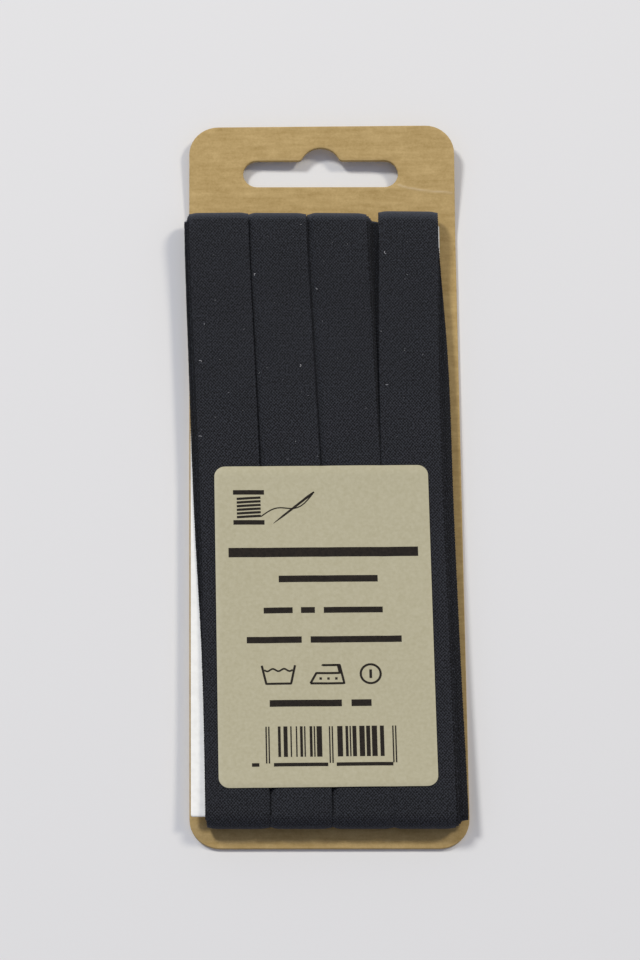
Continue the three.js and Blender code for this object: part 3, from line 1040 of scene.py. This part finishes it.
def sign_strokes():
    """A tray of water, a wedge with three dots, and a disc with an upright stroke in it."""
    yield stroke(TRAY, SIGN_PEN)
    places = np.linspace(WATER["left"], WATER["right"], WATER["points"])
    water = [(x, WATER["y"] + WATER["height"] * math.sin(WATER["turning"] * x)) for x in places]
    yield stroke(water, SIGN_PEN * WATER["pen_share"])
    yield stroke(WEDGE, SIGN_PEN)
    for x in WEDGE_DOTS["places"]:
        ends = [(x - WEDGE_DOTS["half"], WEDGE_DOTS["y"]), (x + WEDGE_DOTS["half"], WEDGE_DOTS["y"])]
        yield stroke(ends, WEDGE_DOTS["pen"])
    ring = arc(DISC["centre"], DISC["radius"], 90, 450, DISC["steps"])
    yield stroke([tuple(point) for point in ring], SIGN_PEN)
    x, y = DISC["centre"]
    yield stroke([(x, y - DISC["half"]), (x, y + DISC["half"])], SIGN_PEN * DISC["pen_share"])


def upright_strokes():
    """Long thin bars in pairs at the ends and the middle, and bars of random width between them."""
    chance = random.Random(UPRIGHT_SEED)
    unit, clear = UPRIGHTS["unit"], UPRIGHTS["clear"]
    units = round((UPRIGHTS["right"] - UPRIGHTS["left"]) / unit)
    long_bars = (0, 2, units // 2 - 1, units // 2 + 1, units - 3, units - 1)
    place = 0
    bars = [(start, 1) for start in long_bars]
    while place < units - UPRIGHTS["clear_end"]:
        place += chance.randint(*UPRIGHTS["gaps"])
        width = chance.choice(UPRIGHTS["widths"])
        near_long = any(start - clear - width < place < start + 1 + clear for start in long_bars)
        if not near_long:
            bars.append((place, width))
        place += width
    for start, width in bars:
        x = UPRIGHTS["left"] + (start + width / 2) * unit
        foot = UPRIGHTS["long_foot"] if start in long_bars else UPRIGHTS["foot"]
        yield stroke([(x, foot), (x, UPRIGHTS["top"])], width * unit * UPRIGHTS["pen_share"])


def stroke_tree(sizes, material):
    """Sweeps a thin flat band of the pen's width along each stroke."""
    tree, given = shape_tree("pen_strokes", sizes)
    lines = new_node(tree, "GeometryNodeMeshToCurve", {"Mesh": given["Geometry"]})
    finer = new_node(tree, "GeometryNodeSubdivideCurve", {"Curve": lines.outputs[0], "Cuts": given["Cuts"]})
    level = new_node(tree, "GeometryNodeSetCurveNormal", {"Curve": finer.outputs[0]}, mode="Z_UP")
    band = new_node(tree, "GeometryNodeCurvePrimitiveQuadrilateral", {"Width": 1.0, "Height": 1.0})
    swept = new_node(tree, "GeometryNodeCurveToMesh", {
        "Curve": level.outputs[0], "Profile Curve": band.outputs[0], "Scale": stored(tree, "pen"),
        "Fill Caps": True})
    place = split_position(tree)
    upper = maths(tree, "GREATER_THAN", place["Z"], 0.0)
    thin = new_node(tree, "ShaderNodeCombineXYZ", {
        "X": place["X"], "Y": place["Y"], "Z": maths(tree, "MULTIPLY", upper, given["Ink Thickness"])})
    flat = new_node(tree, "GeometryNodeSetPosition", {
        "Geometry": swept.outputs[0], "Position": thin.outputs[0]})
    end_tree(tree, flat.outputs[0], material)
    return tree


def ink_material():
    material, tree, shader = new_material("printed_ink", INK_DARK, INK_ROUGHNESS, INK_GLOSS)
    sizes = {"Scale": 2500.0, "Detail": 3.0}
    colour_by_grain(tree, shader, sizes, (0.35, INK_DARK), (0.75, INK_PALE))
    return material


def build_printing():
    strokes = [*bar_strokes(), *reel_strokes(), *sign_strokes(), *upright_strokes()]
    material = ink_material()
    mesh = grow("strokes", guide_mesh("stroke_lines", strokes), stroke_tree(INK, material), INK)
    settle_on_label(mesh.vertices, LABEL_THICKNESS + INK_CLEARANCE)
    make_piece("printed_label_marks", mesh, material)


build_printing()
